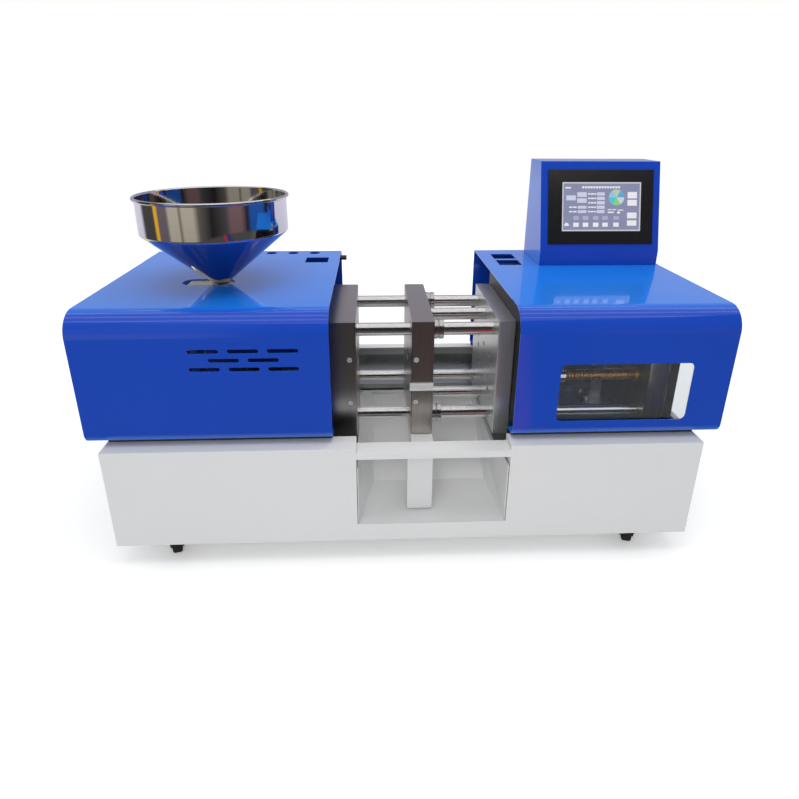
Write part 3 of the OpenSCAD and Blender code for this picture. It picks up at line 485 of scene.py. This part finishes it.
def dusted(tree, colour, dust, scale, amount):
    """Mixes specks of dust into a colour socket and returns the new colour."""
    mix = node(tree, "ShaderNodeMix", data_type="RGBA")
    link(tree, use_group(tree, SPECKS, Scale=scale, Amount=amount)["Mask"], mix.inputs["Factor"])
    link(tree, colour, mix.inputs[6])
    mix.inputs[7].default_value = (*dust, 1)
    return mix.outputs[2]


def shade_between(tree, light, dark, scale):
    """A colour that wanders between two shades in soft clouds."""
    return use_group(tree, SHADE, Light=(*light, 1), Dark=(*dark, 1), Scale=scale)["Color"]


def handled(tree, sockets, base, spread, scale):
    """Patches of handling in the roughness."""
    patches = use_group(tree, SMUDGES, Base=base, Spread=spread, Scale=scale)
    link(tree, patches["Roughness"], sockets["Roughness"])

# %% [markdown]
# The covers are sheet steel under a deep, glossy royal blue. A colour coat under a clear coat
# gives the sharp reflections on top of a soft colour, and a faint orange-peel skin breaks them
# up the way sprayed paint does. A painted sheen turns the colour from deep blue to azure where a
# sheet is seen at a slant, so the tops of the covers are painted lighter than their fronts, as
# light from above would make them.

# %% Cover paint
def make_blue_paint():
    made, tree, sockets = finish_material("blue_paint", Coat_Weight=1.0, Coat_Roughness=0.06,
                                          Specular_IOR_Level=0.15)
    # Painted sheen: the base colour is mixed from deep blue towards a lighter azure where the sheet is seen
    # at a slant, so the tops look lit from above.
    facing = node(tree, "ShaderNodeLayerWeight", Blend=0.5).outputs["Facing"]
    painted_sheen_ramp = node(tree, "ShaderNodeMapRange", From_Min=0.3, From_Max=0.8)
    link(tree, facing, painted_sheen_ramp.inputs["Value"])
    deep = shade_between(tree, (0.004, 0.062, 0.5), (0.003, 0.05, 0.43), 2.5)
    azure = shade_between(tree, (0.012, 0.245, 0.9), (0.008, 0.2, 0.8), 2.5)
    sheen_painted_colour = node(tree, "ShaderNodeMix", data_type="RGBA")
    link(tree, painted_sheen_ramp.outputs[0], sheen_painted_colour.inputs["Factor"])
    link(tree, deep, sheen_painted_colour.inputs[6])
    link(tree, azure, sheen_painted_colour.inputs[7])
    link(tree, dusted(tree, sheen_painted_colour.outputs[2], (0.1, 0.2, 0.6), 240.0, 0.1), sockets["Base Color"])
    handled(tree, sockets, 0.4, 0.15, 11.0)
    skin = use_group(tree, SKIN, Scale=420.0, Depth=0.05)["Normal"]
    link(tree, skin, sockets["Normal"])
    link(tree, skin, sockets["Coat Normal"])
    return made


BLUE_PAINT = make_blue_paint()

# %% [markdown]
# The cabinet is powder coated: whiter, less glossy and with a fine leathery skin. Dust settles
# in it, so the specks are a little stronger.

# %% Cabinet paint
def make_white_powder():
    made, tree, sockets = finish_material("white_powder", Coat_Weight=0.08, Coat_Roughness=0.25)
    shade = shade_between(tree, (0.77, 0.77, 0.765), (0.71, 0.71, 0.71), 2.0)
    link(tree, dusted(tree, shade, (0.42, 0.41, 0.38), 300.0, 0.3), sockets["Base Color"])
    handled(tree, sockets, 0.42, 0.06, 8.0)
    link(tree, use_group(tree, SKIN, Scale=1500.0, Depth=0.12)["Normal"], sockets["Normal"])
    return made


WHITE_POWDER = make_white_powder()

# %% [markdown]
# Bare metals share one recipe: a metallic base whose colour follows the grinding lines a little,
# patches of handling in the roughness, and the lines again as a bump. Only the numbers differ.

# %% Bare metals
def make_metal(name, light, dark, base, spread, stretch, depth, metallic=1.0, patch=9.0):
    """A bare metal; light and dark are its colours along the grinding lines."""
    made, tree, sockets = finish_material(name, Metallic=metallic)
    lines = use_group(tree, GRINDING, Stretch=stretch, Depth=depth)
    colour = ramp(tree, lines["Lines"], [(0.3, dark), (0.7, light)])
    link(tree, colour, sockets["Base Color"])
    handled(tree, sockets, base, spread, patch)
    link(tree, lines["Normal"], sockets["Normal"])
    return made


PLATEN_STEEL = make_metal("platen_steel", grey(0.5, 0.05), grey(0.44, 0.06), 0.3, 0.14,
                          (500, 500, 20), 0.05)
SUPPORT_STEEL = make_metal("support_steel", grey(0.72), grey(0.66), 0.3, 0.1, (400, 400, 20), 0.02,
                           metallic=0.8)
REAR_STEEL = make_metal("rear_steel", grey(0.2, 0.1), grey(0.14, 0.1), 0.3, 0.14, (400, 400, 20), 0.05)
GROUND_STEEL = make_metal("ground_steel", grey(0.72), grey(0.62, 0.01), 0.3, 0.12, (500, 500, 25), 0.06)
ROLLED_STEEL = make_metal("rolled_steel", (0.42, 0.45, 0.43), (0.33, 0.36, 0.35), 0.3, 0.2,
                          (25, 300, 300), 0.04)
HARD_CHROME = make_metal("hard_chrome", grey(0.8), grey(0.79), 0.2, 0.03, (700, 8, 8), 0.0)
BRIGHT_STEEL = make_metal("bright_steel", grey(0.66), grey(0.56, 0.02), 0.2, 0.12, (900, 30, 30), 0.08)
SCREW_STEEL = make_metal("screw_steel", grey(0.8), grey(0.6), 0.35, 0.1, (300, 300, 300), 0.03,
                         metallic=0.5)
FLAG_STEEL = make_metal("flag_steel", grey(0.85), grey(0.78), 0.3, 0.1, (30, 500, 500), 0.03,
                        metallic=0.35)
BRONZE = make_metal("bronze", (0.68, 0.42, 0.18), (0.5, 0.3, 0.12), 0.28, 0.14, (900, 30, 30), 0.1)
SCREW_GOLD = make_metal("screw_gold", (0.62, 0.36, 0.1), (0.4, 0.2, 0.05), 0.42, 0.16,
                        (900, 40, 40), 0.08)
STAINLESS = make_metal("stainless", grey(0.76, 0.01), grey(0.74, 0.01), 0.06, 0.04, (20, 20, 300), 0.008)
ALUMINIUM = make_metal("aluminium", (0.66, 0.67, 0.69), (0.56, 0.57, 0.59), 0.32, 0.12, (30, 400, 400), 0.1)
ZINC = make_metal("zinc_plate", (0.42, 0.43, 0.46), (0.28, 0.29, 0.31), 0.36, 0.2, (60, 60, 60), 0.05)
print("materials so far:", [m.name for m in bpy.data.materials])

# %% [markdown]
# Plastics and rubber are dull by comparison: a plain colour that varies a little, and a skin.

# %% Plastics and rubber
def make_dull(name, light, dark, base, spread, skin_scale, skin_depth, dust=0.15):
    """A plastic, rubber or satin paint."""
    made, tree, sockets = finish_material(name)
    shade = shade_between(tree, light, dark, 12.0)
    link(tree, dusted(tree, shade, (0.4, 0.38, 0.35), 350.0, dust), sockets["Base Color"])
    handled(tree, sockets, base, spread, 20.0)
    link(tree, use_group(tree, SKIN, Scale=skin_scale, Depth=skin_depth)["Normal"], sockets["Normal"])
    return made


BEZEL_BLACK = make_dull("bezel_black", grey(0.016), grey(0.011), 0.32, 0.12, 2500.0, 0.15)
RUBBER = make_dull("rubber", grey(0.05), grey(0.03), 0.7, 0.2, 1200.0, 0.3)
TYRE = make_dull("tyre", grey(0.03), grey(0.018), 0.55, 0.2, 1200.0, 0.2)
MOTOR_BLACK = make_dull("motor_black", grey(0.03), grey(0.02), 0.4, 0.15, 1600.0, 0.3)
GUARD_BLACK = make_dull("guard_black", (0.02, 0.014, 0.016), (0.013, 0.009, 0.011), 0.35, 0.1,
                        1600.0, 0.1, 0.03)
GUARD_BLACK.node_tree.nodes["Principled BSDF"].inputs["Specular IOR Level"].default_value = 0.15
SHIELD_CREAM = make_dull("shield_cream", (0.8, 0.77, 0.6), (0.7, 0.66, 0.5), 0.45, 0.1, 900.0, 0.1)
CASTOR_GREY = make_dull("castor_grey", grey(0.07), grey(0.045), 0.4, 0.2, 900.0, 0.15)


# %% Window and display glass
def make_clear(name, **values):
    """A clear plastic or glass pane."""
    made, tree, sockets = finish_material(name, Transmission_Weight=1.0, IOR=1.49, **values)
    handled(tree, sockets, 0.02, 0.04, 14.0)
    return made


WINDOW = make_clear("window_clear", Base_Color=(0.93, 0.96, 0.98, 1))
SCREEN_GLASS = make_dull("screen_glass", (0.1, 0.1, 0.16), (0.08, 0.08, 0.13), 0.08, 0.04,
                         300.0, 0.01, 0.05)

# %% Finish of each CAD node
FINISHES = {
    BLUE_PAINT: ["left_cover", "right_cover", "hmi_box"],
    WHITE_POWDER: ["base_cabinet", "drop_chute"],
    PLATEN_STEEL: ["fixed_platen", "moving_platen"],
    REAR_STEEL: ["rear_plate", "crosshead"],
    SUPPORT_STEEL: ["support_plate"],
    GROUND_STEEL: ["slide_rails"],
    FLAG_STEEL: ["position_flag"],
    ROLLED_STEEL: ["bed_plate"],
    ZINC: ["castor_plates", "motor_bracket"],
    CASTOR_GREY: [f"castor_fork_{corner}" for corner in ("fl", "fr", "rl", "rr")],
    HARD_CHROME: ["tie_bars", "push_rods", "guide_rods", "injection_ball_screw", "plasticising_screw"],
    BRIGHT_STEEL: ["guide_bushes", "tie_bar_nuts", "ball_nuts", "injection_nut", "heater_bands",
                   "hopper_neck", "shutoff_gate", "motor_pulley", "sprue_bush", "barrel"],
    SCREW_STEEL: ["platen_screws", "moving_platen_screws"],
    BRONZE: ["nozzle"],
    SCREW_GOLD: ["drive_screw_front", "drive_screw_rear"],
    STAINLESS: ["hopper"],
    ALUMINIUM: ["carriage_plate", "feed_block", "injection_end_plate", "drive_plate"],
    GUARD_BLACK: ["guard_sheets"],
    MOTOR_BLACK: ["clamp_motor", "injection_motor", "plasticising_motor", "electrics"],
    SHIELD_CREAM: ["slot_shield"],
    BEZEL_BLACK: ["hmi_bezel", "power_inlet"],
    SCREEN_GLASS: ["hmi_screen"],
    WINDOW: ["window_pane"],
    RUBBER: ["cover_strips", "timing_belt"],
    TYRE: [f"castor_wheel_{corner}" for corner in ("fl", "fr", "rl", "rr")],
}
finish_of = {name: material for material, names in FINISHES.items() for name in names}
for name, piece in nodes.items():
    piece.data.materials.clear()
    piece.data.materials.append(finish_of[name])
print("finished", len(finish_of), "CAD nodes")

# %% [markdown]
# Real edges are never perfectly sharp: a folded sheet or a ground plate has a small radius that
# catches the light in a thin line. A copy of the CAD mesh is merged, its flat faces are joined
# and its sharp edges get a bevel. The copy then stands for the CAD node, which is hidden but kept.

# %% Edge softening
def soften(name, width, segments=2, sharp=28):
    """A copy of a CAD node with its sharp edges rounded over width metres."""
    source = nodes[name]

    def copy_mesh(shape):
        shape.from_mesh(source.data)
        bmesh.ops.remove_doubles(shape, verts=shape.verts, dist=2e-6)
        bmesh.ops.dissolve_limit(shape, angle_limit=math.radians(0.5), use_dissolve_boundaries=False,
                                 verts=shape.verts, edges=shape.edges)
        limit = math.radians(sharp)
        keen = [e for e in shape.edges if len(e.link_faces) == 2 and e.calc_face_angle() > limit]
        bmesh.ops.bevel(shape, geom=keen, offset=width, affect="EDGES", segments=segments, profile=0.5,
                        material=-1, clamp_overlap=True)
        for face in shape.faces:
            face.smooth = True

    made = new_object(name + "_soft", copy_mesh)
    made.data.materials.append(finish_of[name])
    made.data.set_sharp_from_angle(angle=math.radians(35))
    weighted = made.modifiers.new("even_shading", "WEIGHTED_NORMAL")
    weighted.keep_sharp = True
    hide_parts(name)
    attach(made, source["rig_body"])
    return made


SOFT_EDGES = {"base_cabinet": 0.0012, "left_cover": 0.0006, "right_cover": 0.0006, "hmi_box": 0.0009,
              "hmi_bezel": 0.0005, "fixed_platen": 0.0003, "moving_platen": 0.0003, "support_plate": 0.0003,
              "guide_bushes": 0.0005, "tie_bar_nuts": 0.0005, "rear_plate": 0.0004, "crosshead": 0.0004}
for name, width in SOFT_EDGES.items():
    piece = soften(name, width)
    print(piece.name, len(piece.data.polygons), "faces")

# %% [markdown]
# The drive screws are rolled ball screws. Their groove is a helix: a short profile, one pitch
# long, is spun round the axis while it moves along, so each turn joins the one before it. Two
# cuts square off the ends, and the holes that they leave are filled.

# %% Screw threads
def helix(shape, profile, pitch, turns, steps=28):
    """Spins a profile of (along, radius) points into a screw along X, one pitch a turn."""
    points = [shape.verts.new((along, 0, radius)) for along, radius in profile]
    edges = [shape.edges.new(pair) for pair in zip(points, points[1:])]
    bmesh.ops.spin(shape, geom=points + edges, cent=(0, 0, 0), axis=(1, 0, 0), dvec=(pitch / steps, 0, 0),
                   angle=math.tau * turns, steps=steps * turns)
    bmesh.ops.remove_doubles(shape, verts=shape.verts, dist=1e-5)


def trim(shape, start, end):
    """Cuts a shape square at two places along X and closes both ends."""
    for place, away in ((start, -1), (end, 1)):
        geometry = shape.verts[:] + shape.edges[:] + shape.faces[:]
        bmesh.ops.bisect_plane(shape, geom=geometry, plane_co=(place, 0, 0), plane_no=(away, 0, 0),
                               clear_outer=True, dist=1e-7)
    bmesh.ops.holes_fill(shape, edges=[e for e in shape.edges if e.is_boundary], sides=0)
    bmesh.ops.recalc_face_normals(shape, faces=shape.faces)


# %% Drive screws
SCREW_PITCH = 0.0055
SCREW_CREST = 0.010
SCREW_ROOT = 0.0086
SCREW_START, SCREW_END = 0.1795, 0.3889
SCREW_Y = {"front": -0.1015, "rear": 0.0425}
SCREW_Z = 0.281
JOURNAL = 0.0075
RING, RING_START, RING_END = 0.0120, 0.4049, 0.4106
PULLEY, PULLEY_START, PULLEY_END = 0.0220, 0.4470, 0.4589


def turned(shape, outline):
    """A solid of revolution about X from (along, radius) points, closed at both ends."""
    points = [shape.verts.new((along, 0, radius)) for along, radius in outline]
    edges = [shape.edges.new(pair) for pair in zip(points, points[1:])]
    bmesh.ops.spin(shape, geom=points + edges, cent=(0, 0, 0), axis=(1, 0, 0), angle=math.tau, steps=48,
                   use_merge=True)
    bmesh.ops.holes_fill(shape, edges=[e for e in shape.edges if e.is_boundary], sides=0)


def drive_screw_mesh(shape):
    """The thread, then a taper down to the journal with its thrust ring and belt pulley."""
    groove = [(0.0, SCREW_CREST), (0.0021, SCREW_CREST), (0.0027, 0.0091), (0.0038, SCREW_ROOT),
              (0.0049, 0.0091), (SCREW_PITCH, SCREW_CREST)]
    turns = math.ceil((SCREW_END - SCREW_START) / SCREW_PITCH) + 2
    helix(shape, groove, SCREW_PITCH, turns)
    bmesh.ops.translate(shape, verts=shape.verts, vec=(SCREW_START - SCREW_PITCH, 0, 0))
    trim(shape, SCREW_START, SCREW_END)
    turned(shape, [
        (SCREW_END - 0.0001, 0.0), (SCREW_END - 0.0001, 0.0095), (0.3982, JOURNAL), (RING_START, JOURNAL),
        (RING_START, RING - 0.0002), (RING_START + 0.0004, RING), (RING_END - 0.0004, RING),
        (RING_END, RING - 0.0002), (RING_END, JOURNAL), (PULLEY_START, JOURNAL),
        (PULLEY_START, PULLEY - 0.0008), (PULLEY_START + 0.0008, PULLEY), (PULLEY_END - 0.0007, PULLEY),
        (PULLEY_END, PULLEY - 0.0008), (PULLEY_END, JOURNAL), (PULLEY_END + 0.0004, JOURNAL - 0.0005),
        (PULLEY_END + 0.0005, 0.0),
    ])
    bmesh.ops.remove_doubles(shape, verts=shape.verts, dist=1e-7)
    bmesh.ops.recalc_face_normals(shape, faces=shape.faces)
    for face in shape.faces:
        face.smooth = True


for side, screw_y in SCREW_Y.items():
    piece = new_object("screw_thread_" + side, drive_screw_mesh)
    piece.data.transform(Matrix.Translation((0, screw_y, SCREW_Z)))
    piece.data.set_sharp_from_angle(angle=math.radians(40))
    piece.data.materials.append(SCREW_GOLD)
    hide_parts("drive_screw_" + side)
    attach(piece, "drive_screw_" + side)
    print(piece.name, len(piece.data.polygons), "faces")

# %% [markdown]
# The hopper is spun from thin stainless sheet: a cone, a short wall and a rim rolled over a wire.
# A CAD solid shows its facets in a mirror finish, so the shell is turned again from its section,
# with a small bend between cone and wall, in many more steps.

# %% Hopper
HOPPER_X, HOPPER_Y = -0.31975, -0.0295
HOPPER_RADIUS = 0.1205
RIM_Z, CONE_TOP_Z, CONE_LOW_Z = 0.581, 0.524, 0.436
SHEET = 0.0015
COLLAR = 0.0145
BEAD = 0.003


def hopper_mesh(shape):
    bead = [(HOPPER_RADIUS + 0.0015 - BEAD * math.cos(a), RIM_Z + BEAD * math.sin(a))
            for a in (math.radians(step) for step in range(0, 331, 22))]
    outline = [
        (COLLAR, CONE_LOW_Z), (COLLAR + 0.1035, CONE_TOP_Z - 0.0018),
        (HOPPER_RADIUS - 0.0004, CONE_TOP_Z + 0.0004), (HOPPER_RADIUS, CONE_TOP_Z + 0.003),
        (HOPPER_RADIUS, RIM_Z - 0.0026), *reversed(bead), (HOPPER_RADIUS - SHEET, CONE_TOP_Z + 0.003),
        (HOPPER_RADIUS - SHEET - 0.001, CONE_TOP_Z + 0.0006), (COLLAR - SHEET, CONE_LOW_Z),
    ]
    points = [shape.verts.new((radius, 0, height)) for radius, height in outline]
    edges = [shape.edges.new(pair) for pair in zip(points, points[1:] + points[:1])]
    bmesh.ops.spin(shape, geom=points + edges, cent=(0, 0, 0), axis=(0, 0, 1), angle=math.tau, steps=180,
                   use_merge=True)
    bmesh.ops.recalc_face_normals(shape, faces=shape.faces)
    bmesh.ops.translate(shape, verts=shape.verts, vec=(HOPPER_X, HOPPER_Y, 0))
    for face in shape.faces:
        face.smooth = True


hopper_shell = new_object("hopper_shell", hopper_mesh)
hopper_shell.data.set_sharp_from_angle(angle=math.radians(35))
hopper_shell.data.materials.append(STAINLESS)
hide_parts("hopper")
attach(hopper_shell, nodes["hopper"]["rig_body"])
rim_mm = round(2000 * (HOPPER_RADIUS + 0.0045))
print("hopper:", len(hopper_shell.data.polygons), "faces, rim", rim_mm, "mm across")

# %% [markdown]
# The touch panel is on. Its page is a set of thin lit plates on the glass: a lilac ground with a
# pale border, rows of value fields with dashes for labels, a round chart and a column of keys.
# It could be one picture, but plates in a few glowing colours stay sharp from close by.

# %% Display page
SCREEN_W, SCREEN_H = 0.154, 0.093
PANEL_MIDDLE = (0.3865, 0.1060, 0.5445)
LEAN = math.atan(49 / 164)
LAYER = 1e-4
ICON_COLUMNS = (0.18, 0.3, 0.43, 0.55, 0.69)
ON_SCREEN = (Matrix.Translation(PANEL_MIDDLE)
             @ Matrix.Rotation(math.pi / 2 - LEAN, 4, "X")
             @ Matrix.Translation((0, -0.0015, 0.00525)))


def lit(name, colour, strength=1.0):
    """A material for a lit part of the page, a little uneven as a back-lit panel is."""
    made, tree, sockets = finish_material(name, Roughness=0.2, Emission_Strength=strength)
    shade = shade_between(tree, colour, [c * 0.82 for c in colour], 40.0)
    link(tree, shade, sockets["Emission Color"])
    sockets["Base Color"].default_value = (0.02, 0.02, 0.03, 1)
    return made


def page_place(across, down, lift):
    """A point of the page, from fractions of its width and height; lift counts layers."""
    return ((across - 0.5) * SCREEN_W, (0.5 - down) * SCREEN_H, lift * LAYER)


def plates(name, material, rectangles, lift):
    """Thin plates on the page; each rectangle is (left, right, top, bottom) in fractions."""
    def fill(shape):
        for left, right, top, bottom in rectangles:
            corners = ((left, top), (left, bottom), (right, bottom), (right, top))
            plate = shape.faces.new([shape.verts.new(page_place(*c, lift)) for c in corners])
            raised = bmesh.ops.extrude_face_region(shape, geom=[plate])["geom"]
            top_verts = [v for v in raised if isinstance(v, bmesh.types.BMVert)]
            bmesh.ops.translate(shape, verts=top_verts, vec=(0, 0, LAYER))
        bmesh.ops.recalc_face_normals(shape, faces=shape.faces)
    made = new_object(name, fill)
    made.data.transform(ON_SCREEN)
    made.data.materials.append(material)
    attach(made, nodes["hmi_screen"]["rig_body"])
    return made


BORDER = lit("page_border", (0.62, 0.62, 0.66))
GROUND = lit("page_ground", (0.26, 0.27, 0.42))
FIELD = lit("page_field", (0.62, 0.65, 0.8))
KEY = lit("page_key", (0.85, 0.86, 0.88))
ICON = lit("page_icon", (0.42, 0.44, 0.6))

plates("page_edge", BORDER, [(0.0, 1.0, 0.0, 1.0)], 0)
plates("page_sheet", GROUND, [(0.016, 0.984, 0.028, 0.972)], 1.2)
rows = (0.24, 0.33, 0.42, 0.51, 0.60)
fields = [(0.053, 0.173, 0.27, 0.37), (0.19, 0.31, 0.205, 0.3), (0.19, 0.31, 0.33, 0.42)]
fields += [(0.44, 0.54, y - 0.032, y + 0.032) for y in rows]
fields += [(0.2, 0.31, y - 0.028, y + 0.028) for y in rows[3:]]
plates("page_fields", FIELD, fields, 2.4)
key_rows = ((0.2, 0.33), (0.36, 0.48), (0.62, 0.74), (0.78, 0.89))
keys = [(0.83, 0.95, top, bottom) for top, bottom in key_rows]
keys += [(x - 0.035, x + 0.035, 0.825, 0.91) for x in ICON_COLUMNS]
plates("page_keys", KEY, keys, 2.4)
dashes = [(0.25 + 0.035 * step, 0.277 + 0.035 * step, 0.085, 0.125) for step in range(14)]
dashes += [(0.04, 0.11, 0.1, 0.13), (0.03, 0.09, 0.86, 0.89), (0.04, 0.08, 0.83, 0.86)]
for y in rows:
    words = ((0.33, 0.355), (0.362, 0.4), (0.407, 0.43))
    dashes += [(start, end, y - 0.015, y + 0.015) for start, end in words]
for y in rows[3:]:
    words = ((0.09, 0.13), (0.138, 0.185))
    dashes += [(start, end, y - 0.015, y + 0.015) for start, end in words]
dashes += [(0.58, 0.63, 0.55, 0.57), (0.64, 0.69, 0.55, 0.57), (0.58, 0.66, 0.6, 0.63),
           (0.71, 0.78, 0.56, 0.58), (0.7, 0.74, 0.6, 0.64)]
plates("page_dashes", KEY, dashes, 2.4)
plates("page_icons", ICON, [(x - 0.035, x + 0.035, 0.69, 0.77) for x in ICON_COLUMNS], 2.4)

# %% Round chart on the page
CHART_COLOURS = ((0.1, 0.75, 0.8), (0.3, 0.8, 0.3), (0.75, 0.85, 0.85), (0.15, 0.5, 0.85),
                 (0.6, 0.8, 0.5), (0.4, 0.7, 0.9))
CHART_RADIUS = 0.0152


def chart_mesh(shape):
    bmesh.ops.create_circle(shape, cap_ends=True, cap_tris=True, segments=48, radius=CHART_RADIUS)
    for face in shape.faces:
        bearing = math.atan2(face.calc_center_median().y, face.calc_center_median().x)
        face.material_index = int((bearing / math.tau + 0.5) * len(CHART_COLOURS)) % len(CHART_COLOURS)
    raised = bmesh.ops.extrude_face_region(shape, geom=shape.faces[:])["geom"]
    top_verts = [v for v in raised if isinstance(v, bmesh.types.BMVert)]
    bmesh.ops.translate(shape, verts=top_verts, vec=(0, 0, LAYER))
    bmesh.ops.recalc_face_normals(shape, faces=shape.faces)
    bmesh.ops.translate(shape, verts=shape.verts, vec=page_place(0.69, 0.31, 2.4))


chart = new_object("page_chart", chart_mesh)
chart.data.transform(ON_SCREEN)
for number, colour in enumerate(CHART_COLOURS):
    chart.data.materials.append(lit(f"page_chart_{number}", colour, 0.8))
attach(chart, nodes["hmi_screen"]["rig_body"])
print("display page:", len(fields), "fields,", len(keys), "keys and a round chart")
